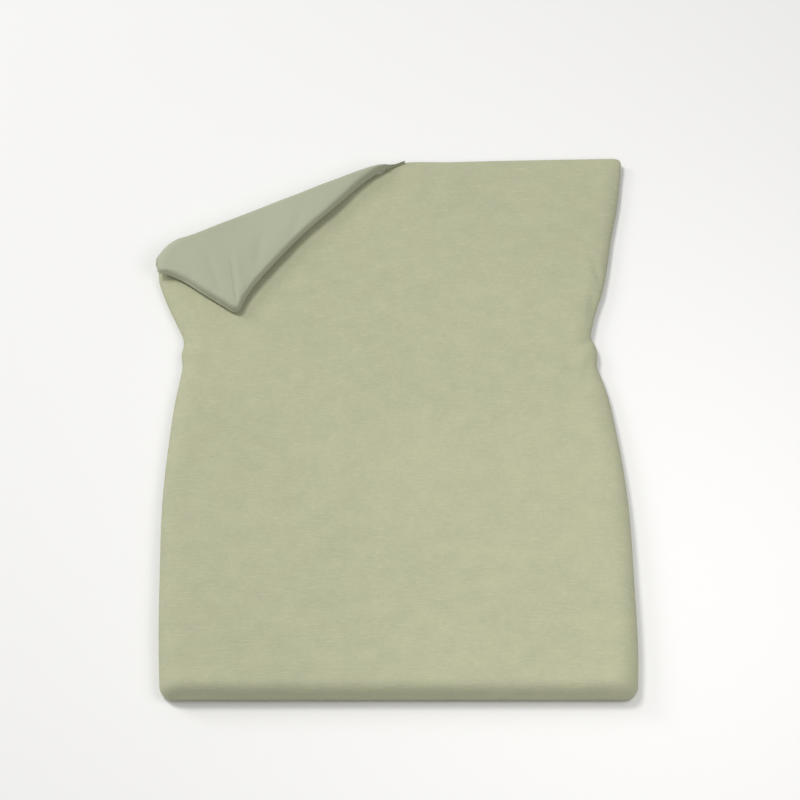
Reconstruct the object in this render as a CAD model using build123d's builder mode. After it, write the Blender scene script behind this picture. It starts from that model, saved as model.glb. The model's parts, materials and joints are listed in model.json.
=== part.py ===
"""A filled duvet in its cover, lying flat, with its head-left corner turned back.

Millimetres. +Z is up, +Y points to the head, and +X to the right as seen from the foot.
The origin is on the supporting surface, under the middle of the duvet's bounding box.
"""

import math
import os

from build123d import *

# Overall size
half_length = 972        # middle to the head edge, and to the foot edge
head_height = 42         # top of the duvet at the head edge
foot_height = 88         # top of the duvet at the foot edge
corner_radius = 20       # outer corners in plan
tall = 150               # above every top
far = 1500               # beyond every edge

# The crease of the turned corner, in plan, and the corner point itself when it lies flat
crease_left = (-770, 576)
crease_right = (45, 963)
flat_corner = (-775, 935)
edge_bow = 25            # how far the turned head edge is drawn in at its middle
corner_thick = 40        # thickness of the turned corner
fold_gap = 1             # air between the turned corner and the duvet below it
crease_setback = 3       # each side stops this far short of the crease

# Cloth and filling
cloth = 1.5              # cover walls and top, with their seam allowance
underside = 3            # cover underside, as thick as its button placket
ticking = 1              # casing of the filled insert
clear = 0.3              # air between one layer and the next
cover_seam = 20          # height of the seam between the front and back of the cover
insert_inset = 36        # cover edge to insert edge
piping_width = 4
piping_height = 4
insert_seam = 24         # height of the insert's edge piping

# Button placket on the underside, near the foot
turn_under = 190         # front cloth that is carried round the foot and under
placket_width = 36
placket_layer = 0.7
button_count = 9
button_radius = 7
button_thick = 1.5
button_pitch = 145
shank_radius = 1.2
buttonhole = (16, 4)

# Corner ties of the cover and corner loops of the insert, linked like a chain
link = (22, 12)
link_eye = (16, 6)
tape = 1.2
tie_reach = 24           # corner to the middle of the tie, along the diagonal
loop_reach = 32          # corner to the middle of the loop
label_size = (24, 50, 0.5)

foot_left = (-698, -half_length)
foot_right = (747, -half_length)
head_right = (775, half_length)
right_side = [(742, -300), (662, 200), (648, 283), (712, 560)]
left_side = [(-771.5, 520), (-670, 265), (-673, 172), (-713, -400)]

slope = (foot_height - head_height) / (2 * half_length)


def top(y):
    """Height of the duvet's upper face at y."""
    return head_height + slope * (half_length - y)


crease_run = crease_right[0] - crease_left[0]
crease_rise = crease_right[1] - crease_left[1]
crease_length = math.hypot(crease_run, crease_rise)
crease_angle = math.degrees(math.atan2(crease_rise, crease_run))
along = (crease_run / crease_length, crease_rise / crease_length)
outward = (-along[1], along[0])

# The plane that the turned corner lies on: X along the crease, Y outward, Z up
fold_plane = Plane(
    origin=(*crease_left, top(crease_left[1]) + fold_gap),
    x_dir=(*along, -slope * along[1]),
    z_dir=(0, slope, 1),
)


def from_crease(point):
    """A plan point as distance along the crease and distance outward from it."""
    dx = point[0] - crease_left[0]
    dy = point[1] - crease_left[1]
    return dx * along[0] + dy * along[1], dx * outward[0] + dy * outward[1]


corner_u, corner_v = from_crease(flat_corner)
tip = (corner_u, -corner_v)                 # where the corner lies once it is folded over
head_edge_length = math.hypot(crease_length - tip[0], tip[1])
edge_middle = (
    (tip[0] + crease_length) / 2 + edge_bow * tip[1] / head_edge_length,
    tip[1] / 2 + edge_bow * (crease_length - tip[0]) / head_edge_length,
)


def duvet_outline(inset):
    """Plan of the duvet without its turned corner, drawn in by inset along the open edges."""
    with BuildLine() as edge:
        Polyline(foot_left, foot_right, *right_side, head_right, crease_right,
                 flat_corner, *left_side, close=True)
    make_face(edge.edges())
    if inset:
        offset(amount=-inset)
    if inset < corner_radius:
        ends = vertices().group_by(Axis.Y)
        fillet([*ends[0], *ends[-1]], radius=corner_radius - inset)
    start = (crease_left[0] - crease_setback * outward[0],
             crease_left[1] - crease_setback * outward[1])
    with Locations(Location((*start, 0), (0, 0, crease_angle))):
        Rectangle(2 * far, far, align=(Align.CENTER, Align.MIN), mode=Mode.SUBTRACT)


def corner_outline(inset):
    """Plan of the turned corner in the fold plane, drawn in by inset along the open edges."""
    past = 0.2                              # carries both edges on past the crease
    beyond_left = (-past * tip[0], -past * tip[1])
    beyond_right = (crease_length + past * (crease_length - edge_middle[0]),
                    -past * edge_middle[1])
    with BuildLine() as edge:
        Polyline(tip, edge_middle, beyond_right, beyond_left, close=True)
    make_face(edge.edges())
    if inset:
        offset(amount=-inset)
    with Locations((0, -crease_setback)):
        Rectangle(2 * far, far, align=(Align.CENTER, Align.MIN), mode=Mode.SUBTRACT)


def layer(inset, low, drop):
    """The duvet's plan drawn in by inset, from height low up to drop below its upper face."""
    with BuildPart() as block:
        with BuildSketch(Plane.YZ):
            with BuildLine():
                Polyline((-far, low), (far, low), (far, top(far) - drop),
                         (-far, top(-far) - drop), close=True)
            make_face()
        extrude(amount=far, both=True)
        with BuildSketch():
            duvet_outline(inset)
        extrude(amount=tall, mode=Mode.INTERSECT)
    return block.part


def corner_layer(inset, low, high):
    """The turned corner's plan drawn in by inset, between two heights over the fold plane."""
    with BuildPart() as block:
        with BuildSketch(fold_plane.offset(low)):
            corner_outline(inset)
        extrude(amount=high - low)
    return block.part


def finish(part, name):
    """Label a piece and write its STEP file."""
    part.label = name
    export_step(part, f"parts/{name}.step")


os.makedirs("parts", exist_ok=True)

# ---- Cover of the main part ----
placket_y = -half_length + turn_under
outer = layer(0, 0, 0)
room = layer(cloth, underside, cloth)

with BuildPart() as cover_front:
    add(outer)
    add(room, mode=Mode.SUBTRACT)
    with BuildSketch():
        with Locations((0, placket_y)):
            Rectangle(2 * far, 2 * far, align=(Align.CENTER, Align.MIN))
    extrude(amount=cover_seam, mode=Mode.SUBTRACT)
    with BuildSketch():
        with Locations((0, placket_y)):
            Rectangle(2 * far, placket_width)
    extrude(amount=underside, mode=Mode.SUBTRACT)
finish(cover_front.part, "cover_front")

with BuildPart() as cover_back:
    add(outer)
    add(room, mode=Mode.SUBTRACT)
    with BuildSketch():
        with Locations((0, placket_y)):
            Rectangle(2 * far, 2 * far, align=(Align.CENTER, Align.MIN))
    extrude(amount=cover_seam, mode=Mode.INTERSECT)
    with BuildSketch():
        with Locations((0, placket_y)):
            Rectangle(2 * far, placket_width)
    extrude(amount=underside, mode=Mode.SUBTRACT)
finish(cover_back.part, "cover_back")

# ---- Button placket: buttonhole strip outside, button strip inside it, buttons between ----
placket_length = foot_right[0] - foot_left[0] - 2 * corner_radius
placket_middle = (foot_right[0] + foot_left[0]) / 2
strip_low = button_thick + 0.1

with BuildPart() as buttonhole_strip:
    with BuildSketch(Plane.XY.offset(strip_low)):
        with Locations((placket_middle, placket_y)):
            Rectangle(placket_length, placket_width - 2 * clear)
            with GridLocations(button_pitch, 0, button_count, 1):
                SlotOverall(*buttonhole, mode=Mode.SUBTRACT)
    extrude(amount=placket_layer)
finish(buttonhole_strip.part, "placket_buttonhole_strip")

strip_low_inner = strip_low + placket_layer
with BuildPart() as button_strip:
    with BuildSketch(Plane.XY.offset(strip_low_inner)):
        with Locations((placket_middle, placket_y)):
            Rectangle(placket_length, placket_width - 2 * clear)
    extrude(amount=underside - strip_low_inner)
finish(button_strip.part, "placket_button_strip")

with BuildPart() as buttons:
    with BuildSketch():
        with Locations((placket_middle, placket_y)):
            with GridLocations(button_pitch, 0, button_count, 1):
                Circle(button_radius)
    extrude(amount=button_thick)
    with BuildSketch():
        with Locations((placket_middle, placket_y)):
            with GridLocations(button_pitch, 0, button_count, 1):
                Circle(shank_radius)
    extrude(amount=strip_low_inner)
finish(buttons.part, "cover_buttons")

# ---- Filled insert of the main part ----
casing_low = underside + clear
casing_drop = cloth + clear
casing = layer(insert_inset, casing_low, casing_drop)
casing_room = layer(insert_inset + ticking, casing_low + ticking, casing_drop + ticking)

with BuildPart() as insert_ticking_top:
    add(casing)
    add(casing_room, mode=Mode.SUBTRACT)
    with BuildSketch():
        Rectangle(2 * far, 2 * far)
    extrude(amount=insert_seam, mode=Mode.SUBTRACT)
finish(insert_ticking_top.part, "insert_ticking_top")

with BuildPart() as insert_ticking_bottom:
    add(casing)
    add(casing_room, mode=Mode.SUBTRACT)
    with BuildSketch():
        Rectangle(2 * far, 2 * far)
    extrude(amount=insert_seam, mode=Mode.INTERSECT)
finish(insert_ticking_bottom.part, "insert_ticking_bottom")

filling = layer(insert_inset + ticking + clear, casing_low + ticking + clear,
                casing_drop + ticking + clear)
with BuildPart() as insert_fill:
    add(filling)
finish(insert_fill.part, "insert_fill")

with BuildPart() as insert_piping:
    with BuildSketch(Plane.XY.offset(insert_seam - piping_height / 2)):
        duvet_outline(insert_inset - piping_width)
    extrude(amount=piping_height)
    with BuildSketch(Plane.XY.offset(insert_seam - piping_height / 2)):
        duvet_outline(insert_inset)
    extrude(amount=piping_height, mode=Mode.SUBTRACT)
finish(insert_piping.part, "insert_piping")

# ---- Corner ties and loops at the three corners that lie flat ----
# Each corner is a plan point and the angle of the diagonal that points out through it
flat_corners = [(head_right, 45), (foot_right, -45), (foot_left, -135)]


def link_plane(corner, angle, reach, height):
    """Level plane at a corner's diagonal, reach inward from the corner, X pointing out."""
    turn = math.radians(angle)
    return Plane(
        origin=(corner[0] - reach * math.cos(turn), corner[1] - reach * math.sin(turn), height),
        x_dir=(math.cos(turn), math.sin(turn), 0),
        z_dir=(0, 0, 1),
    )


def on_edge(plane):
    """The same plane stood on edge about its own X."""
    return Plane(origin=plane.origin, x_dir=plane.x_dir, z_dir=plane.y_dir)


with BuildPart() as insert_corner_loops:
    for corner, angle in flat_corners:
        with BuildSketch(link_plane(corner, angle, loop_reach, insert_seam)):
            SlotOverall(*link)
            SlotOverall(*link_eye, mode=Mode.SUBTRACT)
        extrude(amount=tape / 2, both=True)
finish(insert_corner_loops.part, "insert_corner_loops")

with BuildPart() as cover_corner_ties:
    for corner, angle in flat_corners:
        with BuildSketch(on_edge(link_plane(corner, angle, tie_reach, insert_seam))):
            SlotOverall(*link)
            SlotOverall(*link_eye, mode=Mode.SUBTRACT)
        extrude(amount=tape / 2, both=True)
finish(cover_corner_ties.part, "cover_corner_ties")

# ---- Blank care labels, sewn into the cover's left seam and the insert's right one ----
label_y = -600
with BuildPart() as cover_care_label:
    with BuildSketch(Plane.XY.offset(cover_seam)):
        with Locations((-688, label_y)):
            Rectangle(label_size[0], label_size[1])
    extrude(amount=label_size[2])
finish(cover_care_label.part, "cover_care_label")

with BuildPart() as insert_care_label:
    with BuildSketch(Plane.XY.offset(insert_seam)):
        with Locations((727, label_y)):
            Rectangle(label_size[0], label_size[1])
    extrude(amount=label_size[2])
finish(insert_care_label.part, "insert_care_label")

# ---- Turned corner: the same layers, upside down on the fold plane ----
corner_seam = corner_thick / 2
corner_outer = corner_layer(0, 0, corner_thick)
corner_room = corner_layer(cloth, cloth, corner_thick - cloth)

with BuildPart() as cover_front_corner:
    add(corner_outer)
    add(corner_room, mode=Mode.SUBTRACT)
    with BuildSketch(fold_plane.offset(corner_seam)):
        Rectangle(2 * far, 2 * far)
    extrude(amount=tall, mode=Mode.SUBTRACT)
finish(cover_front_corner.part, "cover_front_corner")

with BuildPart() as cover_back_corner:
    add(corner_outer)
    add(corner_room, mode=Mode.SUBTRACT)
    with BuildSketch(fold_plane.offset(corner_seam)):
        Rectangle(2 * far, 2 * far)
    extrude(amount=-tall, mode=Mode.SUBTRACT)
finish(cover_back_corner.part, "cover_back_corner")

corner_casing = corner_layer(insert_inset, casing_drop, corner_thick - casing_drop)
corner_casing_room = corner_layer(insert_inset + ticking, casing_drop + ticking,
                                  corner_thick - casing_drop - ticking)

with BuildPart() as insert_ticking_top_corner:
    add(corner_casing)
    add(corner_casing_room, mode=Mode.SUBTRACT)
    with BuildSketch(fold_plane.offset(corner_seam)):
        Rectangle(2 * far, 2 * far)
    extrude(amount=tall, mode=Mode.SUBTRACT)
finish(insert_ticking_top_corner.part, "insert_ticking_top_corner")

with BuildPart() as insert_ticking_bottom_corner:
    add(corner_casing)
    add(corner_casing_room, mode=Mode.SUBTRACT)
    with BuildSketch(fold_plane.offset(corner_seam)):
        Rectangle(2 * far, 2 * far)
    extrude(amount=-tall, mode=Mode.SUBTRACT)
finish(insert_ticking_bottom_corner.part, "insert_ticking_bottom_corner")

corner_filling = corner_layer(insert_inset + ticking + clear, casing_drop + ticking + clear,
                              corner_thick - casing_drop - ticking - clear)
with BuildPart() as insert_fill_corner:
    add(corner_filling)
finish(insert_fill_corner.part, "insert_fill_corner")

with BuildPart() as insert_piping_corner:
    with BuildSketch(fold_plane.offset(corner_seam - piping_height / 2)):
        corner_outline(insert_inset - piping_width)
    extrude(amount=piping_height)
    with BuildSketch(fold_plane.offset(corner_seam - piping_height / 2)):
        corner_outline(insert_inset)
    extrude(amount=piping_height, mode=Mode.SUBTRACT)
finish(insert_piping_corner.part, "insert_piping_corner")

# The diagonal at the tip, halfway between the turned side edge and the turned head edge
side_edge_angle = math.atan2(-tip[1], -tip[0])
head_edge_angle = math.atan2(edge_middle[1] - tip[1], edge_middle[0] - tip[0])
tip_diagonal = (side_edge_angle + head_edge_angle) / 2 + math.pi


def tip_plane(reach):
    """Plane of the turned corner's seam, reach inward from the tip, X pointing out."""
    local = (tip[0] - reach * math.cos(tip_diagonal), tip[1] - reach * math.sin(tip_diagonal))
    outward_dir = fold_plane.x_dir * math.cos(tip_diagonal)
    outward_dir = outward_dir + fold_plane.y_dir * math.sin(tip_diagonal)
    origin = fold_plane.offset(corner_seam).from_local_coords(local)
    return Plane(origin=origin, x_dir=outward_dir, z_dir=fold_plane.z_dir)


with BuildPart() as insert_corner_loop_turned:
    with BuildSketch(tip_plane(loop_reach)):
        SlotOverall(*link)
        SlotOverall(*link_eye, mode=Mode.SUBTRACT)
    extrude(amount=tape / 2, both=True)
finish(insert_corner_loop_turned.part, "insert_corner_loop_turned")

with BuildPart() as cover_corner_tie_turned:
    with BuildSketch(on_edge(tip_plane(tie_reach))):
        SlotOverall(*link)
        SlotOverall(*link_eye, mode=Mode.SUBTRACT)
    extrude(amount=tape / 2, both=True)
finish(cover_corner_tie_turned.part, "cover_corner_tie_turned")
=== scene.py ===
import json
import math

import bmesh
import bpy
import numpy as np
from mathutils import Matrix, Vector

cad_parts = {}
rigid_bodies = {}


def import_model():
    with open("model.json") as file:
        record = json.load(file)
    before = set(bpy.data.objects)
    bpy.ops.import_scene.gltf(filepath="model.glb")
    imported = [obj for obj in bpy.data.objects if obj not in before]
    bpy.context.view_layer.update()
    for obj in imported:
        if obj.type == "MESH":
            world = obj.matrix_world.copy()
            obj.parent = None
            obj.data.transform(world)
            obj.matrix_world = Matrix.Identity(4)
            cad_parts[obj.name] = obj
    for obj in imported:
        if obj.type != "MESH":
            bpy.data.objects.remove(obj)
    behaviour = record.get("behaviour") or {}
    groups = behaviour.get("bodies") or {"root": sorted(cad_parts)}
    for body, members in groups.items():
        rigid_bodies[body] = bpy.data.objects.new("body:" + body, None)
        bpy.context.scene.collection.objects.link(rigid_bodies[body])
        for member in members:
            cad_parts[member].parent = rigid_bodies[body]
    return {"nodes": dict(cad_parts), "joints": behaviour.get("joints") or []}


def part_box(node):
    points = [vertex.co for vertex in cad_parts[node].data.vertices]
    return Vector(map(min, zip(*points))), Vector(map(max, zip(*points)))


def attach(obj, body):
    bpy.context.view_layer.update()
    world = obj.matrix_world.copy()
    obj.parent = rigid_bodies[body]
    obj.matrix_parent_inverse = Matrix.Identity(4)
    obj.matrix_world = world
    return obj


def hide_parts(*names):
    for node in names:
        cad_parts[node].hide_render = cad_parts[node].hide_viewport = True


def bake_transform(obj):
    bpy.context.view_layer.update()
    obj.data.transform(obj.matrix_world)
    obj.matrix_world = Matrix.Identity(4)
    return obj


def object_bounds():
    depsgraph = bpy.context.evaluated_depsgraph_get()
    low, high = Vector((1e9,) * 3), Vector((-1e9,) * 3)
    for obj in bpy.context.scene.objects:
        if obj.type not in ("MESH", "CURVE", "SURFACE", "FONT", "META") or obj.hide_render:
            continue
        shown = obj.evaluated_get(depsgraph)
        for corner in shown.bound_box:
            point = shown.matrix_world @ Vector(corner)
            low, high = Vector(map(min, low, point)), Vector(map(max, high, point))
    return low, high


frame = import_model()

cad_low, cad_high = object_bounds()

# ---------------------------------------------------------------------------
# The frame: levels and the crease of the turned corner, in metres
# ---------------------------------------------------------------------------
fold = frame["joints"][0]
crease_middle = np.array(fold["pos_m"], float)
crease_dir = -np.array(fold["axis"], float)          # from the crease's left end to its right
crease_length = 0.902

front_low, front_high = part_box("cover_front")
foot_y, head_y = front_low[1], front_high[1]
fold_air = 0.0005                                    # the axis lies this far over the duvet
slope = (front_high[2] - (crease_middle[2] - fold_air)) / (crease_middle[1] - foot_y)

along = crease_dir[:2] / np.linalg.norm(crease_dir[:2])
outward = np.array((-along[1], along[0]))
crease_left = crease_middle[:2] - along * crease_length / 2
crease_right = crease_middle[:2] + along * crease_length / 2
flat_corner = np.array((crease_left[0] - 0.005, 0.935))   # the corner, were it lying flat


def plane_z(y):
    """Height of the plane that parts the duvet from its turned corner."""
    return front_high[2] - slope * (y - foot_y)


# ---------------------------------------------------------------------------
# Outline, as (y, x) along each side, seen from above
# ---------------------------------------------------------------------------
right_side = [(-0.972, 0.742), (-0.90, 0.747), (-0.60, 0.748), (-0.30, 0.740), (-0.02, 0.708),
              (0.07, 0.693), (0.13, 0.677), (0.18, 0.662), (0.215, 0.665), (0.250, 0.662),
              (0.283, 0.648), (0.33, 0.654), (0.374, 0.664), (0.454, 0.690), (0.54, 0.708),
              (0.66, 0.727), (0.80, 0.755), (0.972, 0.776)]
left_side = [(-0.972, -0.693), (-0.90, -0.698), (-0.60, -0.710), (-0.27, -0.713),
             (-0.10, -0.703), (0.054, -0.689), (0.133, -0.677), (0.172, -0.672),
             (0.220, -0.677), (0.262, -0.671), (0.34, -0.699), (0.385, -0.720),
             (0.446, -0.745), (0.504, -0.762), (0.560, -0.768), (0.577, -0.772),
             (0.595, -0.792), (0.620, -0.803), (0.650, -0.802), (0.70, -0.791), (0.80, -0.784),
             (0.88, -0.778), (0.935, -0.775)]
head_bow = 0.048                # how far the turned head edge is drawn in along its middle
head_out = 0.015                # the flat head edge's reach past the CAD outline
foot_corner_radius = 0.040
head_corner_radius = 0.030

# Section of the duvet; a round is the width over which a face rises or drops from a seam
seam_lip = 0.0016               # flat strip of seam allowance at the edge
lip_half = 0.0007               # half the strip's thickness
lip_close = 0.0015              # it closes to nothing over this width
side_round = 0.070
side_round_under = 0.045
head_round = 0.045
foot_round = 0.046
foot_round_under = 0.022
foot_seam_height = 0.020        # nose of the folded foot edge
seam_share = 0.42               # height of a side seam, as a share of the thickness
head_seam_share = 0.60
fold_seam_share = 0.82          # the same where the head seam meets the crease
top_clear = 0.003               # the top stays this far under the parting plane
floor_clear = 0.0004
corner_thick = 0.039            # thickness of the turned corner
corner_lift = 0.002             # its lower face over the parting plane
fold_lift = 0.0045              # its seam over its lower face where the crease meets the head
side_lift = 0.0068              # its side seam over its lower face
head_lift = 0.017               # its head seam over its lower face
corner_round = 0.040
corner_wall = 0.010             # its edge stands up steeply over this width
corner_wall_share = 0.70        # to this share of the thickness
corner_round_under = 0.045
roll_bulge = 0.55               # outward bulge of the fold, as a share of half its height
swell_limit = 0.0012            # the most that the duvet's top swells
fold_end_drop = 0.040           # how far the fold's left end sags toward the foot
fold_end_reach = 0.100
fold_end_bulge = 0.5            # extra bulge of the fold near that end
tape_width = 0.006              # of the corner ties and loops
tape_thick = 0.0012
ring_width = 0.009
tie_length, tie_reach = 0.029, 0.033                # reach: from a cover corner to its middle
loop_length, loop_reach = 0.020, 0.050
foot_ring_height, head_ring_height, turned_ring_height = 0.022, 0.024, 0.018
stitch_inset, stitch_length, stitch_pitch, thread_radius = 0.0045, 0.0032, 0.0046, 0.0004
quilt_pitch = 0.30              # the insert's stitched boxes
quilt_width = 0.012
quilt_depth = 0.004
ticking_inset = 0.036           # how far the insert's layers stay inside the cover's seams
filling_inset = 0.038
piping_inset = 0.0345
ticking_gap = 0.0015            # and inside its faces
filling_gap = 0.0060
piping_radius = 0.0016
fold_tuck = 0.008               # how far the insert is drawn in at the fold's right end
fold_tuck_reach = 0.12

# Heights about the parting plane that bound the middle run of each layer's roll round the crease
inner_band = (-0.0006, 0.0016)
middle_band = (-0.0066, 0.0048)
outer_band = (-0.0070, 0.0044)

# The placket's strips close the gap between these two, and past the strips' ends the cloth does
strip_low, strip_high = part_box("placket_buttonhole_strip")
turn_under_edge = foot_y + 0.175
back_edge = foot_y + 0.205
strip_overlap = 0.012           # how far that cloth runs on over the strips


def smooth_line(points, at):
    """Value of a smooth curve through (position, value) points, extended straight."""
    p = np.array([a for a, _ in points])
    v = np.array([b for _, b in points])
    tangent = np.gradient(v, p)
    at = np.asarray(at, float)
    k = np.clip(np.searchsorted(p, at) - 1, 0, len(p) - 2)
    step = p[k + 1] - p[k]
    s = np.clip((at - p[k]) / step, 0, 1)
    curve = ((2 * s**3 - 3 * s**2 + 1) * v[k] + (s**3 - 2 * s**2 + s) * step * tangent[k]
             + (3 * s**2 - 2 * s**3) * v[k + 1] + (s**3 - s**2) * step * tangent[k + 1])
    past = np.where(at < p[0], (at - p[0]) * tangent[0], 0)
    return curve + past + np.where(at > p[-1], (at - p[-1]) * tangent[-1], 0)


def bow(share):
    """Shape of a drawn-in edge: 0 at both ends and 1 along most of its length."""
    return 1 - (2 * share - 1)**4 + 0.06 * np.sin(share * 14) * (1 - (2 * share - 1)**2)


def head_line(x):
    """Y of the head edge at x, with the corner lying flat."""
    x = np.asarray(x, float)
    right = crease_right[1] + (head_y + head_out - crease_right[1]) * np.clip(
        (x - crease_right[0]) / (cad_high[0] - crease_right[0]), 0, 1)**0.6
    s = np.clip((crease_right[0] - x) / (crease_right[0] - flat_corner[0]), 0, 1)
    left = crease_right[1] + (flat_corner[1] - crease_right[1]) * s - head_bow * bow(s)
    return np.where(x > crease_right[0], right, left)


def smoothstep(low, high, value):
    s = np.clip((value - low) / (high - low), 0, 1)
    return s * s * (3 - 2 * s)


def rounding(distance, reach, power=2.0):
    """0 at a seam to 1 at reach from it, rising like a quarter of a superellipse."""
    q = np.clip((distance - seam_lip) / reach, 0, 1)
    return (1 - (1 - q)**power)**(1 / power)


def ripple(x, y, seed, wavelength, height):
    """Gentle uneven swelling: a sum of waves in seeded directions."""
    random = np.random.default_rng(seed)
    total = np.zeros_like(x)
    count = 9
    for _ in range(count):
        angle = random.uniform(0, math.tau)
        k = math.tau / (wavelength * random.uniform(0.7, 1.6))
        total += np.sin(k * (x * math.cos(angle) + y * math.sin(angle)) + random.uniform(0, math.tau))
    return height * total / math.sqrt(count)


def soft_line(x, y, start, end, width, height):
    """A soft straight ridge, or a crease if height is below 0, fading at both ends."""
    dx, dy = end[0] - start[0], end[1] - start[1]
    length = math.hypot(dx, dy)
    s = ((x - start[0]) * dx + (y - start[1]) * dy) / length
    off = ((x - start[0]) * dy - (y - start[1]) * dx) / length
    fade = smoothstep(-0.35 * length, 0.3 * length, s) * (1 - smoothstep(0.7 * length, 1.35 * length, s))
    return height * np.exp(-(off / width)**2) * fade


# ---------------------------------------------------------------------------
# Plan grids, drawn in by inset for the pieces inside the cover
# ---------------------------------------------------------------------------
near_edge = np.concatenate(
    [(0, lip_close), seam_lip + 0.08 * (1 - np.cos(np.linspace(0, math.pi / 2, 10)))])
near_foot = np.array((0, 0.0008, 0.0024, 0.005, 0.0085, 0.013, 0.0185, 0.025, 0.032, 0.040, 0.049))


class Plan:
    """Where the cloth's points lie in plan, and how far each is from the open edges."""

    def __init__(self, inset=0.0, fine=1.0, gap=0.0, quilting=0.0):
        self.inset = inset
        self.gap = gap
        self.quilting = quilting
        self.left = crease_left + along * inset / along[0]
        self.right = crease_right - along * inset / along[1]
        self.corner = flat_corner + np.array((inset, -inset))
        self.foot = foot_y + inset
        self.fine = fine

    def distances(self, x, y):
        """Distances to the left, right, head and foot edges, with the corner lying flat."""
        step = 0.002
        left_x = smooth_line(left_side, y)
        right_x = smooth_line(right_side, y)
        left_lean = (smooth_line(left_side, y + step) - left_x) / step
        right_lean = (smooth_line(right_side, y + step) - right_x) / step
        return (np.maximum((x - left_x) / np.hypot(1, left_lean) - self.inset, 0),
                np.maximum((right_x - x) / np.hypot(1, right_lean) - self.inset, 0),
                np.maximum(head_line(x) - y - self.inset, 0),
                np.maximum(y - self.foot, 0))

    def crease_shares(self):
        """Positions along the crease, close together at its ends, as shares of its length."""
        length = np.linalg.norm(self.right - self.left)
        rise = self.right[1] - self.left[1]
        low = near_edge / length
        high = 1 - near_edge[::-1] / rise
        count = int(48 * self.fine)
        return np.concatenate([low, np.linspace(low[-1], high[0], count)[1:-1], high])

    def crease_points(self):
        return self.left + self.crease_shares()[:, None] * (self.right - self.left)

    def flat_rows(self):
        """Rows from the foot up to the crease's left end: left and right ends."""
        rise = self.left[1] - self.foot
        far = [turn_under_edge - self.foot, back_edge - self.foot]
        y = np.concatenate([
            near_foot, np.linspace(0.06, far[0], 9), np.linspace(far[0], far[1], 4)[1:],
            np.linspace(far[1], rise, int(105 * self.fine))[1:]]) + self.foot
        left = np.stack([smooth_line(left_side, y) + self.inset, y], 1)
        right = np.stack([smooth_line(right_side, y) - self.inset, y], 1)
        left[-1] = self.left
        return left, right

    def main(self):
        """Grid of the part that lies flat, rows from foot to head, columns from left to right."""
        left, right = self.flat_rows()
        share = self.crease_shares()[1:]
        y = self.left[1] + share * (head_y - self.inset - self.left[1])
        upper_right = np.stack([smooth_line(right_side, y) - self.inset, y], 1)
        left = np.concatenate([left, self.crease_points()[1:]])
        right = np.concatenate([right, upper_right])
        span = right - left
        width = np.linalg.norm(span, axis=1)[:, None]
        count = int(112 * self.fine)
        middle = near_edge[-1] + np.linspace(0, 1, count)[1:-1] * (width - 2 * near_edge[-1])
        steps = np.concatenate([
            np.repeat(near_edge[None], len(left), 0), middle, width - near_edge[::-1]], 1)
        plan = left[:, None] + span[:, None] * (steps / width)[:, :, None]
        x, y = plan[..., 0], plan[..., 1]
        shift = head_line(x[-1]) - self.inset - y[-1]    # brings the last row onto the head edge
        shift[0] = 0                                     # the crease's end stays
        y[-len(share):] += shift * share[:, None]**4
        return x, y

    def turned(self):
        """Grid of the turned corner as if flat: rows from the crease to its tip."""
        crease = self.crease_points()
        rows = np.concatenate([near_edge[1:5] / 0.4, np.linspace(0.02, 0.80, int(38 * self.fine)),
                               1 - near_edge[::-1][2:] / 0.4])
        rows = np.unique(np.clip(np.concatenate([(0.0,), rows]), 0, 1))[:, None, None]
        plan = crease * (1 - rows) + self.corner * rows
        x, y = plan[..., 0], plan[..., 1]
        share = self.crease_shares()[None]
        down = rows[..., 0]
        y = y - head_bow * bow(down) * smoothstep(0.2, 1, share)
        x = x + (smooth_line(left_side, y) + self.inset - x[:, :1]) * (1 - smoothstep(0, 0.3, share))
        y[:, -1] = head_line(x[:, -1]) - self.inset
        y[0], x[0] = crease[:, 1], crease[:, 0]
        x[-1], y[-1] = self.corner
        return x, y


def round_corner(x, y, across, down, radius, sign):
    """Rounds a square corner in plan, where across and down are the distances to its edges."""
    a = np.clip(1 - across / radius, 0, 1)
    b = np.clip(1 - down / radius, 0, 1)
    a_round = a * np.sqrt(1 - b**2 / 2)
    b_round = b * np.sqrt(1 - a**2 / 2)
    return x + sign[0] * radius * (a_round - a), y + sign[1] * radius * (b_round - b)


# ---------------------------------------------------------------------------
# The cloth's shape
# ---------------------------------------------------------------------------
def lip(distances):
    """Half the thickness of the seam strip, which closes to nothing at its edge."""
    nearest = np.minimum.reduce(distances[:3])
    return lip_half * np.clip(nearest / lip_close, 0, 1)


def quilting(plan, x, y):
    """How far the insert's stitching draws each of its faces in."""
    if not plan.quilting:
        return 0
    lines = [np.abs((value / quilt_pitch + 0.5) % 1 - 0.5) * quilt_pitch for value in (x, y)]
    return plan.quilting * np.exp(-(np.minimum(*lines) / quilt_width)**2)


def seam_height(x, y, distances):
    """Height of the open edge's seam: low at the foot, and highest where the crease meets the head."""
    fold_end = 1 - smoothstep(0.01, 0.16, np.hypot(x - crease_right[0], y - crease_right[1]))
    head = head_seam_share + (fold_seam_share - head_seam_share) * fold_end
    share = head + (seam_share - head) * smoothstep(0, 0.12, distances[2])
    side = share * plane_z(y)
    return foot_seam_height + (side - foot_seam_height) * smoothstep(0, 0.25, distances[3])


def swelling(plan, x, y, distances):
    """Unevenness of the duvet's top, small so that it stays under the parting plane."""
    inner = np.minimum.reduce(distances) + plan.inset
    calm = smoothstep(0, 0.10, inner)
    z = calm * (ripple(x, y, 3, 0.36, 0.0016) + ripple(x, y, 5, 0.10, 0.0005) - 0.0016)
    for start, end, width, height in top_lines:
        z = z + soft_line(x, y, start, end, width, height) * smoothstep(0, 0.012, inner)
    off_crease = (crease_left[0] - x) * outward[0] + (crease_left[1] - y) * outward[1]
    return np.minimum(z, swell_limit) * smoothstep(0.03, 0.10, off_crease)


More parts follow.
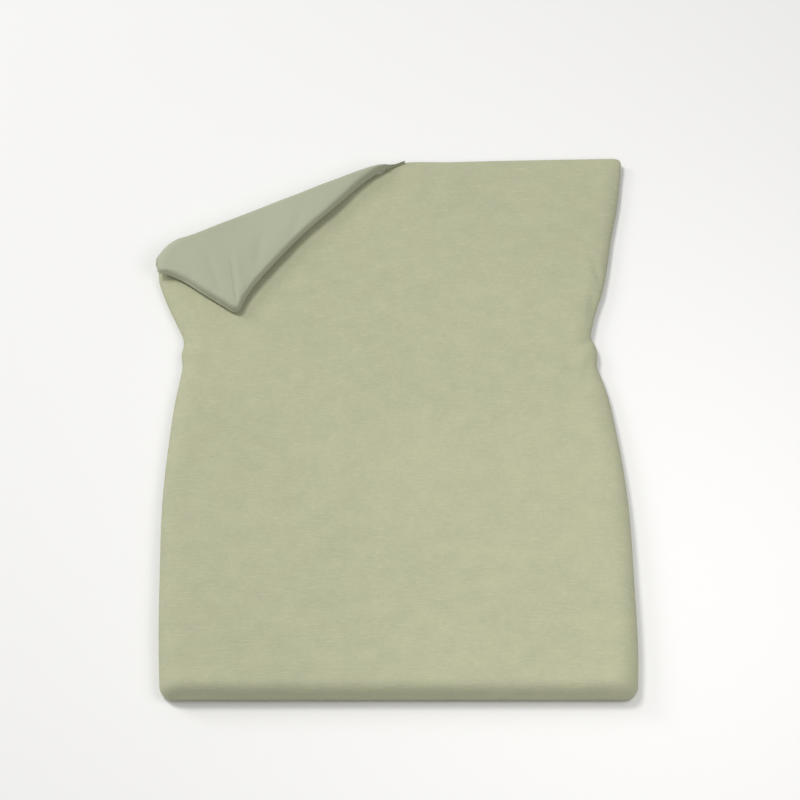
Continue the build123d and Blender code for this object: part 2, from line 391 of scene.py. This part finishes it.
# Puckers and creases, as start, end, width and height; a crease has a height below 0
top_lines = [
    ((0.662, 0.580), (0.684, 0.480), 0.009, -0.0060),
    ((0.660, 0.446), (0.648, 0.355), 0.009, -0.0060),
    ((0.650, 0.272), (0.596, 0.236), 0.010, -0.0055),
    ((0.636, 0.190), (0.618, 0.090), 0.010, -0.0045),
    ((0.690, 0.690), (0.676, 0.610), 0.009, -0.0022),
    ((0.560, 0.330), (0.610, 0.130), 0.030, -0.0020),
    ((-0.664, 0.262), (-0.610, 0.235), 0.008, -0.0040),
    ((-0.668, 0.190), (-0.622, 0.165), 0.008, -0.0030),
    ((-0.706, 0.400), (-0.664, 0.310), 0.009, -0.0030),
    ((-0.560, 0.300), (-0.600, 0.120), 0.030, -0.0018),
]
corner_lines = [
    ((-0.523, 0.545), (-0.500, 0.385), 0.006, -0.0034),
    ((-0.505, 0.550), (-0.484, 0.400), 0.016, 0.0030),
    ((-0.425, 0.640), (-0.440, 0.520), 0.018, -0.0030),
    ((-0.600, 0.560), (-0.560, 0.440), 0.014, -0.0030),
    ((-0.700, 0.570), (-0.650, 0.485), 0.008, -0.0040),
    ((-0.742, 0.560), (-0.705, 0.505), 0.006, -0.0036),
    ((-0.300, 0.720), (-0.330, 0.640), 0.018, -0.0024),
]


def edge_puckers(x, y, distances):
    """Small ripples that the sewing draws across a seam, dying out away from it."""
    nearest = np.minimum.reduce(distances[:3])
    run = np.where(distances[2] < np.minimum(distances[0], distances[1]), x, y)
    wave = np.sin(run * 190 + 2.2 * np.sin(run * 23)) * (0.6 + 0.4 * np.sin(run * 37 + 1))
    return 0.0007 * wave * np.exp(-((nearest - 0.010) / 0.012)**2)


def main_top(plan, x, y):
    """Heights of the flat part's upper face, with the distances to its edges."""
    d = plan.distances(x, y)
    seam = seam_height(x, y, d)
    rise = (rounding(d[0], side_round) * rounding(d[1], side_round) * rounding(d[2], head_round)
            * rounding(d[3] + seam_lip, foot_round, 2.3))
    top = plane_z(y) - top_clear - plan.gap
    z = seam + (top - seam - quilting(plan, x, y)) * rise
    z = z + swelling(plan, x, y, d) + edge_puckers(x, y, d) * (rise < 0.999)
    return z + lip(d), d


def main_bottom(plan, x, y):
    """Heights of the flat part's lower face, with the distances to its edges."""
    d = plan.distances(x, y)
    seam = seam_height(x, y, d)
    drop = (rounding(d[0], side_round_under) * rounding(d[1], side_round_under)
            * rounding(d[2], side_round_under) * rounding(d[3] + seam_lip, foot_round_under))
    low = floor_clear + plan.gap + quilting(plan, x, y)
    return low + (seam - low) * (1 - drop) - lip(d) * (1 - drop), d


def place(x, y, z, d):
    """Points of the flat part, with its plan corners rounded."""
    foot_across = np.minimum(d[0], d[1])
    side = np.where(d[0] < d[1], -1.0, 1.0)
    x, y = round_corner(x, y, foot_across, d[3], foot_corner_radius, (side, -1))
    x, y = round_corner(x, y, d[1], d[2], head_corner_radius, (1, 1))
    return np.stack([x, y, z], -1)


def fold_over(x, y):
    """Mirrors flat plan points across the crease, to where the turned corner lies."""
    u = (x - crease_left[0]) * along[0] + (y - crease_left[1]) * along[1]
    v = (x - crease_left[0]) * outward[0] + (y - crease_left[1]) * outward[1]
    return (crease_left[0] + u * along[0] - v * outward[0],
            crease_left[1] + u * along[1] - v * outward[1])


def corner_seam(x, y, distances):
    """Height of the turned seam over the corner's lower face. The head seam stands off most."""
    off = (x - crease_left[0]) * outward[0] + (y - crease_left[1]) * outward[1]
    head = fold_lift + (head_lift - fold_lift) * smoothstep(0.01, 0.10, off) * (1 - 0.45 * smoothstep(
        0.22, 0.32, off))
    side = side_lift + 0.010 * (1 - smoothstep(0.04, 0.12, off))
    share = distances[2] / (distances[0] + distances[2] + 1e-6)
    return head + (side - head) * share


def round_fold_end(points):
    """Lets the left end of the fold sag, where the side seam doubles back on itself."""
    offset = points[..., :2] - crease_left
    far = np.clip(np.linalg.norm(offset, axis=-1) / fold_end_reach, 0, 1)
    shift = fold_end_drop * (1 - far**2)**2
    points = points.copy()
    points[..., 0] += 0.1 * shift
    points[..., 1] -= shift
    return points


def turned_levels(plan, x, y):
    """Lower and upper heights of the turned corner over flat plan points x, y."""
    d = plan.distances(x, y)
    fx, fy = fold_over(x, y)
    base = plane_z(fy) + corner_lift + plan.gap
    drop = (rounding(d[0], corner_round_under) * rounding(d[1], corner_round_under)
            * rounding(d[2], corner_round_under))
    wall = rounding(d[0], corner_wall) * rounding(d[2], corner_wall)
    crown = rounding(d[0], corner_round) * rounding(d[2], corner_round)
    rise = corner_wall_share * wall + (1 - corner_wall_share) * crown
    seam = base + np.maximum(corner_seam(x, y, d) - plan.gap, 0.002)
    top = base + corner_thick - 2 * plan.gap - quilting(plan, x, y)
    low = base + (seam - base) * (1 - drop) - lip(d) * (1 - drop)
    high = seam + (top - seam) * rise + lip(d)
    nearest = np.minimum(d[0], d[2]) + plan.inset
    for start, end, width, height in corner_lines:
        high = high + soft_line(fx, fy, start, end, width, height) * smoothstep(0, 0.02, nearest)
    high = high + ripple(fx, fy, 11, 0.16, 0.0008) * smoothstep(0, 0.06, nearest)
    high = high + edge_puckers(x, y, d)
    return low, high, d


def turned_place(x, y, z, d):
    """Points of the turned corner, rounded at its tip and laid over the crease."""
    rx, ry = round_corner(x, y, d[0], d[2], head_corner_radius, (-1, 1))
    fx, fy = fold_over(rx, ry)
    return np.stack([fx, fy, z], -1)


def roll(crease, low, high, band):
    """The cloth's turn at the crease, from height low up to high, bulging outward."""
    level = plane_z(crease[:, 1])
    middle, half = (low + high) / 2, (high - low) / 2
    start = np.arcsin(np.clip((level + band[0] - middle) / half, -1, 1))
    end = np.arcsin(np.clip((level + band[1] - middle) / half, -1, 1))
    steps = np.linspace(0, 1, 9)[:, None]
    lower = -math.pi / 2 + steps * (start + math.pi / 2)
    upper = end + steps * (math.pi / 2 - end)
    through = start + np.linspace(0, 1, 13)[1:-1, None] * (end - start)
    angle = np.concatenate([lower, through, upper])
    to_right = np.linalg.norm(crease - crease_right, axis=1)
    to_left = np.linalg.norm(crease - crease_left, axis=1)
    swell = 0.35 + 0.65 * smoothstep(0, 0.10, to_right)
    swell = swell + fold_end_bulge * np.exp(-((to_left - 0.05) / 0.05)**2)
    reach = roll_bulge * half * np.cos(angle) * swell
    z = middle + half * np.sin(angle)
    x = crease[:, 0] + reach * outward[0]
    y = crease[:, 1] + reach * outward[1]
    return np.stack([x, y, z], -1)


# ---------------------------------------------------------------------------
# Meshes from patches
# ---------------------------------------------------------------------------
def link_new(name, data):
    made = bpy.data.objects.new(name, data)
    bpy.context.scene.collection.objects.link(made)
    return made


def finish_mesh(work, name, smooth):
    """Turns a bmesh into a linked object."""
    bmesh.ops.recalc_face_normals(work, faces=work.faces)
    mesh = bpy.data.meshes.new(name)
    work.to_mesh(mesh)
    work.free()
    if smooth:
        mesh.shade_smooth()
    return link_new(name, mesh)


def patch(points, x, y):
    """A grid of points with the place of each on the flat cloth."""
    return points, np.stack([x, y], -1)


def grid_mesh(name, patches):
    """One mesh from grids that share their borders. The place on the flat cloth is kept."""
    verts, cloth, faces, base = [], [], [], 0
    for points, flat in patches:
        rows, cols = points.shape[:2]
        index = base + np.arange(rows * cols).reshape(rows, cols)
        quads = np.stack([index[:-1, :-1], index[:-1, 1:], index[1:, 1:], index[1:, :-1]], -1)
        faces.append(quads.reshape(-1, 4))
        verts.append(points.reshape(-1, 3))
        cloth.append(flat.reshape(-1, 2))
        base += rows * cols
    verts, cloth, faces = np.concatenate(verts), np.concatenate(cloth), np.concatenate(faces)
    mesh = bpy.data.meshes.new(name)
    mesh.from_pydata(verts.tolist(), [], faces.tolist())
    attribute = mesh.attributes.new("cloth", "FLOAT_VECTOR", "POINT")
    flat3 = np.zeros((len(cloth), 3), np.float32)
    flat3[:, :2] = cloth
    attribute.data.foreach_set("vector", flat3.ravel())
    work = bmesh.new()
    work.from_mesh(mesh)
    bmesh.ops.remove_doubles(work, verts=work.verts, dist=0.00005)
    bmesh.ops.dissolve_degenerate(work, dist=0.00002, edges=work.edges)
    bmesh.ops.recalc_face_normals(work, faces=work.faces)
    work.to_mesh(mesh)
    work.free()
    mesh.shade_smooth()
    return link_new(name, mesh)


def rim(plan):
    """The closed run of a shell's seam: round the flat part and over the turned corner."""
    crease = plan.crease_points()
    count = len(crease)
    x, y = plan.main()
    top, d = main_top(plan, x, y)
    flat = place(x, y, top - lip(d), d)
    tx, ty = plan.turned()
    low, _, dt = turned_levels(plan, tx, ty)
    turned = turned_place(tx, ty, low, dt)
    turn = roll(crease, top[-count:, 0], low[0], middle_band)
    sides = [flat[:-count, 0], turn[:, 0], turned[1:, 0], turned[-2:0:-1, -1], turn[::-1, -1],
             flat[-1, 1:], flat[-2::-1, -1], flat[0, -2:0:-1]]
    return round_fold_end(np.concatenate(sides))


def tube(name, points, radius):
    """A round cord along a closed run of points, as a mesh."""
    curve = bpy.data.curves.new(name, "CURVE")
    curve.dimensions = "3D"
    curve.bevel_depth = radius
    curve.bevel_resolution = 1
    spline = curve.splines.new("POLY")
    spline.points.add(len(points) - 1)
    spline.points.foreach_set("co", np.append(points, np.ones((len(points), 1)), 1).ravel())
    spline.use_cyclic_u = True
    drawn = bpy.data.objects.new(name + "_run", curve)
    mesh = bpy.data.meshes.new_from_object(drawn)
    bpy.data.objects.remove(drawn)
    mesh.shade_smooth()
    return link_new(name, mesh)


def tape_rings(name, rings):
    """Closed loops of tape, each given by its middle, long direction, face direction and length."""
    turns = np.linspace(0, math.tau, 28, endpoint=False)
    work = bmesh.new()
    for middle, long_way, face, length in rings:
        middle, long_way, face = (np.array(way, float) for way in (middle, long_way, face))
        across = np.cross(face, long_way)
        sections = []
        for turn in turns:
            centre = (middle + long_way * length / 2 * math.cos(turn)
                      + across * ring_width / 2 * math.sin(turn))
            spread = long_way * ring_width * math.cos(turn) + across * length * math.sin(turn)
            spread = spread / np.linalg.norm(spread) * tape_thick / 2
            sections.append([work.verts.new(centre + a * spread + b * face * tape_width / 2)
                             for a, b in ((1, 1), (-1, 1), (-1, -1), (1, -1))])
        for here, after in zip(sections, sections[1:] + sections[:1]):
            for k in range(4):
                work.faces.new((here[k], here[(k + 1) % 4], after[(k + 1) % 4], after[k]))
    return finish_mesh(work, name, smooth=False)


def stitch_rows(name, rows, z, length, pitch, radius):
    """Rows of short raised stitches, each row given as (y, left end, right end)."""
    work = bmesh.new()
    for y, start, end in rows:
        for x in np.arange(start, end, pitch):
            ring = [work.verts.new((x + length / 2, y + a * radius, z + b * radius))
                    for a, b in ((1, 0), (0, 1), (-1, 0), (0, -1))]
            for tip in (work.verts.new((x, y, z)), work.verts.new((x + length, y, z))):
                for k in range(4):
                    work.faces.new((ring[k], ring[(k + 1) % 4], tip))
    return finish_mesh(work, name, smooth=True)


def shell(plan, back_start=None):
    """Patches of the front and of the back of a filled shell over one plan.

    With back_start, the front goes on round the foot and under, and the back starts there.
    """
    crease = plan.crease_points()
    count = len(crease)
    x, y = plan.main()
    top, d = main_top(plan, x, y)
    bottom, db = main_bottom(plan, x, y)
    foot_drop = np.where(d[3] < foot_round, plane_z(y) - top_clear - top, 0)
    front = [patch(place(x, y, top, d), x, y - foot_drop)]
    if back_start is None:
        back = [patch(place(x, y, bottom, db), x, y)]
    else:
        keep = y[:, 0] <= turn_under_edge + 1e-6
        below = place(x[keep], y[keep], bottom[keep], [part[keep] for part in db])
        front.append(patch(below, x[keep], 2 * foot_y - y[keep] - plane_z(foot_y)))
        rows = (y[:, 0] >= turn_under_edge - 1e-6) & (y[:, 0] <= back_start + 1e-6)
        row_x = x[rows][0]
        for columns in (row_x < strip_low[0] + strip_overlap, row_x > strip_high[0] - strip_overlap):
            part = np.ix_(rows, columns)
            closed = place(x[part], y[part], bottom[part], [share[part] for share in db])
            front.append(patch(closed, x[part], 2 * foot_y - y[part] - plane_z(foot_y)))
        keep = y[:, 0] >= back_start - 1e-6
        above = place(x[keep], y[keep], bottom[keep], [part[keep] for part in db])
        back = [patch(above, x[keep], y[keep])]

    tx, ty = plan.turned()
    low, high, dt = turned_levels(plan, tx, ty)
    turns = [(front, top[-count:, 0], low, inner_band), (back, bottom[-count:, 0], high, outer_band)]
    for patches, start, level, band in turns:
        points = roll(crease, start, level[0], band)
        length = np.linalg.norm(np.diff(points, axis=0), axis=2).sum(0).mean()
        steps = np.linspace(0, length, len(points))[:, None, None]
        patches.append((points, crease + steps * outward))
        turned = turned_place(tx, ty, level, dt)
        patches.append((turned, np.stack([tx, ty], -1) + length * outward))
    for patches in (front, back):
        patches[:] = [(round_fold_end(points), flat) for points, flat in patches]
    return front, back


# ---------------------------------------------------------------------------
# Materials, all procedural, laid out on the flat cloth so that a weave follows every fold
# ---------------------------------------------------------------------------
class Nodes:
    """A material's nodes, with short calls for the ones used here."""

    def __init__(self, name, colour, roughness, sheen=0.0):
        self.material = bpy.data.materials.new(name)
        self.material.use_nodes = True
        self.tree = self.material.node_tree
        self.shader = self.tree.nodes["Principled BSDF"]
        self.shader.inputs["Base Color"].default_value = (*colour, 1)
        self.shader.inputs["Roughness"].default_value = roughness
        self.shader.inputs["Sheen Weight"].default_value = sheen
        self.shader.inputs["Sheen Roughness"].default_value = 0.5

    def link(self, source, target):
        self.tree.links.new(source, target)

    def place_on(self, source, scale):
        """Coordinates from the flat cloth or the object, stretched by scale."""
        if source == "cloth":
            node = self.tree.nodes.new("ShaderNodeAttribute")
            node.attribute_name = "cloth"
            out = node.outputs["Vector"]
        else:
            out = self.tree.nodes.new("ShaderNodeTexCoord").outputs["Object"]
        mapping = self.tree.nodes.new("ShaderNodeMapping")
        mapping.inputs["Scale"].default_value = scale
        self.link(out, mapping.inputs["Vector"])
        return mapping.outputs["Vector"]

    def noise(self, source, scale, detail=2.0, distortion=0.0):
        node = self.tree.nodes.new("ShaderNodeTexNoise")
        node.inputs["Scale"].default_value = 1.0
        node.inputs["Detail"].default_value = detail
        node.inputs["Distortion"].default_value = distortion
        self.link(self.place_on(source, scale), node.inputs["Vector"])
        return node.outputs["Fac"]

    def threads(self, source, scale, axis):
        """Even ridges of yarn, running across axis."""
        node = self.tree.nodes.new("ShaderNodeTexWave")
        node.bands_direction = axis
        node.inputs["Scale"].default_value = 1.0
        node.inputs["Distortion"].default_value = 1.5
        node.inputs["Detail"].default_value = 1.0
        self.link(self.place_on(source, scale), node.inputs["Vector"])
        return node.outputs["Fac"]

    def ramp(self, value, low, high):
        """Value stretched so that low gives 0 and high gives 1."""
        node = self.tree.nodes.new("ShaderNodeMapRange")
        node.inputs["From Min"].default_value = low
        node.inputs["From Max"].default_value = high
        self.link(value, node.inputs["Value"])
        return node.outputs["Result"]

    def math(self, kind, a, b):
        node = self.tree.nodes.new("ShaderNodeMath")
        node.operation = kind
        for slot, value in zip(node.inputs, (a, b)):
            if isinstance(value, (int, float)):
                slot.default_value = value
            else:
                self.link(value, slot)
        return node.outputs["Value"]

    def mix(self, factor, a, b):
        """Colour a to colour b by factor."""
        node = self.tree.nodes.new("ShaderNodeMix")
        node.data_type = "RGBA"
        self.link(factor, node.inputs[0])
        for slot, value in zip((node.inputs[6], node.inputs[7]), (a, b)):
            if isinstance(value, tuple):
                slot.default_value = (*value, 1)
            else:
                self.link(value, slot)
        return node.outputs[2]

    def bump(self, height, distance, strength=1.0):
        node = self.tree.nodes.new("ShaderNodeBump")
        node.inputs["Distance"].default_value = distance
        node.inputs["Strength"].default_value = strength
        self.link(height, node.inputs["Height"])
        self.link(node.outputs["Normal"], self.shader.inputs["Normal"])

    def colour(self, value):
        self.link(value, self.shader.inputs["Base Color"])


def slub_cloth(name, shade, body, slub, warm):
    """Yarn-dyed look of uneven weft threads running across the width, a little crinkled."""
    m = Nodes(name, body, 0.9, 0.08)
    tone = m.ramp(m.noise("cloth", (1.6, 2.4, 1), 3), 0.3, 0.7)
    patchy = m.ramp(m.noise("cloth", (14, 17, 1), 3), 0.3, 0.7)
    weft = m.ramp(m.noise("cloth", (52, 150, 1), 3, 0.3), 0.40, 0.72)
    long_slub = m.ramp(m.noise("cloth", (15, 190, 1), 3), 0.57, 0.66)
    warp = m.ramp(m.noise("cloth", (240, 30, 1), 3), 0.40, 0.75)
    crinkle = m.noise("cloth", (60, 90, 1), 4, 0.6)
    blush = m.ramp(m.noise("cloth", (8, 9, 1), 3, 0.5), 0.45, 0.75)
    ground = m.mix(tone, shade, body)
    ground = m.mix(m.math("MULTIPLY", patchy, 0.42), ground, slub)
    ground = m.mix(m.math("MULTIPLY", blush, 0.60), ground, warm)
    ground = m.mix(m.math("MULTIPLY", weft, 0.40), ground, slub)
    ground = m.mix(m.math("MULTIPLY", warp, 0.30), ground, shade)
    ground = m.mix(m.math("MULTIPLY", long_slub, 0.55), ground, slub)
    m.colour(m.mix(m.math("MULTIPLY", m.ramp(crinkle, 0.35, 0.75), 0.30), ground, shade))
    weave = m.math("ADD", m.threads("cloth", (330, 330, 1), "X"), m.threads("cloth", (330, 330, 1), "Y"))
    height = m.math("ADD", m.math("MULTIPLY", weave, 0.18), m.math("MULTIPLY", weft, 0.5))
    height = m.math("ADD", height, m.math("MULTIPLY", long_slub, 0.8))
    m.bump(m.math("ADD", height, m.math("MULTIPLY", crinkle, 1.1)), 0.0006, 0.7)
    return m.material


def plain_cloth(name, shade, body, source="cloth", crease=0.5):
    """Smooth, closely woven cotton."""
    m = Nodes(name, body, 0.85, 0.10)
    tone = m.ramp(m.noise(source, (3, 3, 3), 3), 0.3, 0.7)
    fleck = m.ramp(m.noise(source, (380, 380, 380), 2), 0.3, 0.8)
    ground = m.mix(tone, shade, body)
    m.colour(m.mix(m.math("MULTIPLY", fleck, 0.25), ground, shade))
    weave = m.math("ADD", m.threads(source, (700, 700, 700), "X"), m.threads(source, (700, 700, 700), "Y"))
    soft = m.noise(source, (22, 30, 22), 4, 0.4)
    m.bump(m.math("ADD", m.math("MULTIPLY", weave, 0.12), m.math("MULTIPLY", soft, crease * 4)), 0.0004, 0.6)
    return m.material


def moulded(name, body, shade, roughness):
    """Pearly moulded resin, clouded a little."""
    m = Nodes(name, body, roughness)
    m.shader.inputs["Coat Weight"].default_value = 0.4
    cloud = m.ramp(m.noise("object", (160, 160, 160), 3, 1.5), 0.3, 0.7)
    m.colour(m.mix(cloud, shade, body))
    m.bump(cloud, 0.0001, 0.3)
    return m.material


front_shade, front_body = (0.408, 0.428, 0.288), (0.461, 0.473, 0.318)
front_slub, front_warm = (0.552, 0.555, 0.370), (0.463, 0.446, 0.325)
back_shade, back_body = (0.395, 0.415, 0.303), (0.435, 0.452, 0.333)


def tuck_fold_end(piece):
    """Draws the insert in from the right end of the fold, clear of the cover."""
    end = crease_right - along * ticking_inset / along[1]
    points = np.empty(3 * len(piece.data.vertices))
    piece.data.vertices.foreach_get("co", points)
    points = points.reshape(-1, 3)
    far = np.clip(np.linalg.norm(points[:, :2] - end, axis=1) / fold_tuck_reach, 0, 1)
    points[:, :2] -= fold_tuck * ((1 - far**2)**2)[:, None] * outward
    piece.data.vertices.foreach_set("co", points.ravel())
    piece.data.update()


def turn_with_corner(piece):
    """Bakes a layer's placement into its mesh."""
    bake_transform(piece)


# ---------------------------------------------------------------------------
# The cover
# ---------------------------------------------------------------------------
front_patches, back_patches = shell(Plan(fine=1.45), back_edge)
cover_front = grid_mesh("cover_front_cloth", front_patches)
cover_front.data.materials.append(slub_cloth("front_cloth", front_shade, front_body, front_slub,
                                            front_warm))
turn_with_corner(cover_front)
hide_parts("cover_front", "cover_front_corner")

cover_back = grid_mesh("cover_back_cloth", back_patches)
cover_back.data.materials.append(plain_cloth("back_cloth", back_shade, back_body))
turn_with_corner(cover_back)
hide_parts("cover_back", "cover_back_corner")

# Placket: stitching along both strips
stitch_lines = [(y, strip_low[0] + 0.004, strip_high[0] - 0.008)
                for y in (strip_low[1] + stitch_inset, strip_high[1] - stitch_inset)]
stitching = stitch_rows("placket_stitching", stitch_lines, strip_low[2], stitch_length, stitch_pitch,
                        thread_radius)
stitching.data.materials.append(plain_cloth("thread", front_shade, front_body, "object", 0.1))
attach(stitching, fold["parent"])

# ---------------------------------------------------------------------------
# The insert inside it
# ---------------------------------------------------------------------------
ticking_material = plain_cloth("ticking_cloth", (0.74, 0.74, 0.71), (0.80, 0.80, 0.78))
ticking_patches = shell(Plan(ticking_inset, 0.5, ticking_gap, quilt_depth))
layers = (("insert_ticking_top_cloth", ticking_patches[0], inner_band, "insert_ticking_top"),
          ("insert_ticking_bottom_cloth", ticking_patches[1], outer_band, "insert_ticking_bottom"))
for name, patches, band, node in layers:
    ticking = grid_mesh(name, patches)
    ticking.data.materials.append(ticking_material)
    tuck_fold_end(ticking)
    turn_with_corner(ticking)
    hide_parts(node, node + "_corner")

fill_patches = shell(Plan(filling_inset, 0.4, filling_gap, quilt_depth))
filling = grid_mesh("insert_filling", fill_patches[0] + fill_patches[1])
filling.data.materials.append(
    plain_cloth("fibre_filling", (0.80, 0.80, 0.78), (0.88, 0.88, 0.87), "object", 1.5))
tuck_fold_end(filling)
turn_with_corner(filling)
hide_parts("insert_fill", "insert_fill_corner")

piping = tube("insert_piping_cord", rim(Plan(piping_inset, 0.5, ticking_gap)), piping_radius)
piping.data.materials.append(
    plain_cloth("piping_cloth", (0.70, 0.70, 0.67), (0.78, 0.78, 0.75), "object", 0.2))
tuck_fold_end(piping)
turn_with_corner(piping)
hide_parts("insert_piping", "insert_piping_corner")


# Ties in the cover's corners hold loops on the insert's, linked like a chain
def corner_ring(corner, inward, height, reach, length, on_edge):
    """One ring for tape_rings, reach in from a corner, standing on edge or lying flat."""
    inward = np.array((*inward, 0.0)) / math.hypot(*inward)
    up = np.array((0.0, 0.0, 1.0))
    middle = np.array((*corner, height)) + inward * reach
    return middle, inward, np.cross(up, inward) if on_edge else up, length


left_foot = float(smooth_line(left_side, foot_y))
right_foot, right_head = (float(smooth_line(right_side, y)) for y in (foot_y, head_y))
flat_corners = [((left_foot, foot_y), (1, 1), foot_ring_height),
                ((right_foot, foot_y), (-1, 1), foot_ring_height),
                ((right_head, head_y + head_out), (-1, -1), head_ring_height)]
tip = np.array(fold_over(*flat_corner))
tip_inward = np.array(fold_over(flat_corner[0] + 1, flat_corner[1] - 1)) - tip
turned_corners = [(tip, tip_inward, plane_z(tip[1]) + corner_lift + turned_ring_height)]
tape_material = plain_cloth("tape_cloth", (0.60, 0.60, 0.52), (0.68, 0.68, 0.60), "object", 0.2)
ring_pieces = (
    ("cover_ties", flat_corners, tie_reach, tie_length, True, "duvet", "cover_corner_ties"),
    ("cover_tie_turned", turned_corners, tie_reach, tie_length, True, "turned_corner",
     "cover_corner_tie_turned"),
    ("insert_loops", flat_corners, loop_reach, loop_length, False, "duvet", "insert_corner_loops"),
    ("insert_loop_turned", turned_corners, loop_reach, loop_length, False, "turned_corner",
     "insert_corner_loop_turned"),
)
for name, corners, reach, length, on_edge, body, node in ring_pieces:
    rings = tape_rings(name, [corner_ring(*corner, reach, length, on_edge) for corner in corners])
    rings.data.materials.append(tape_material)
    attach(rings, body)
    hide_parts(node)

# ---------------------------------------------------------------------------
# Finishes of the CAD parts that stay
# ---------------------------------------------------------------------------
strip_material = plain_cloth("placket_cloth", front_shade, front_body, "object", 0.3)
label_material = plain_cloth("label_satin", (0.78, 0.78, 0.76), (0.85, 0.85, 0.83), "object", 0.1)
finishes = {
    "placket_buttonhole_strip": strip_material,
    "placket_button_strip": strip_material,
    "cover_buttons": moulded("button_resin", (0.70, 0.69, 0.60), (0.62, 0.61, 0.52), 0.3),
    "cover_care_label": label_material,
    "insert_care_label": label_material,
}
for node, material in finishes.items():
    for slot in frame["nodes"][node].material_slots:
        slot.material = material

# ---------------------------------------------------------------------------
# Camera, light and floor
# ---------------------------------------------------------------------------
scene = bpy.context.scene
view_height = math.radians(61)
view_distance = 8.1
aim_right, aim_back, aim_height = 0.0285, 0.042, 0.05   # from the middle of the duvet
aim = Vector(((cad_low[0] + cad_high[0]) / 2 + aim_right, (foot_y + head_y) / 2 + aim_back, aim_height))
camera_data = bpy.data.cameras.new("camera")
camera_data.lens = 114.4
camera = link_new("camera", camera_data)
back_off = Vector((0, -math.cos(view_height), math.sin(view_height)))
camera.location = aim + back_off * view_distance
camera.rotation_euler = (-back_off).to_track_quat("-Z", "Y").to_euler()
camera_data.clip_end = 100
scene.camera = camera
scene.view_settings.view_transform = "Standard"


def area_light(name, place_at, target, size, power, colour):
    """A square soft light, facing target."""
    data = bpy.data.lights.new(name, "AREA")
    data.shape = "RECTANGLE"
    data.size = data.size_y = size
    data.energy = power
    data.color = colour
    light = link_new(name, data)
    light.location = place_at
    light.rotation_euler = (Vector(target) - Vector(place_at)).to_track_quat("-Z", "Y").to_euler()


area_light("key", (-5.6, 4.6, 12.0), (0, 0, 0), 3.6, 860, (1.0, 0.99, 0.97))
area_light("side", (-12.0, 7.2, 8.0), (0, 0, 0), 5.0, 520, (1.0, 0.99, 0.97))
area_light("fill", (1.2, -0.9, 2.4), (0.3, 0, 0), 1.5, 21, (1.0, 0.985, 0.95))

world = bpy.data.worlds.new("studio")
world.use_nodes = True
background = world.node_tree.nodes["Background"]
background.inputs["Color"].default_value = (1, 1, 1, 1)
background.inputs["Strength"].default_value = 0.38
scene.world = world

floor_half, floor_grey = 30, 0.91
floor_mesh = bpy.data.meshes.new("floor")
corners = [(-floor_half, -floor_half, 0), (floor_half, -floor_half, 0),
           (floor_half, floor_half, 0), (-floor_half, floor_half, 0)]
floor_mesh.from_pydata(corners, [], [(0, 1, 2, 3)])
floor_mesh.materials.append(Nodes("floor", (floor_grey,) * 3, 0.8).material)
link_new("floor", floor_mesh)
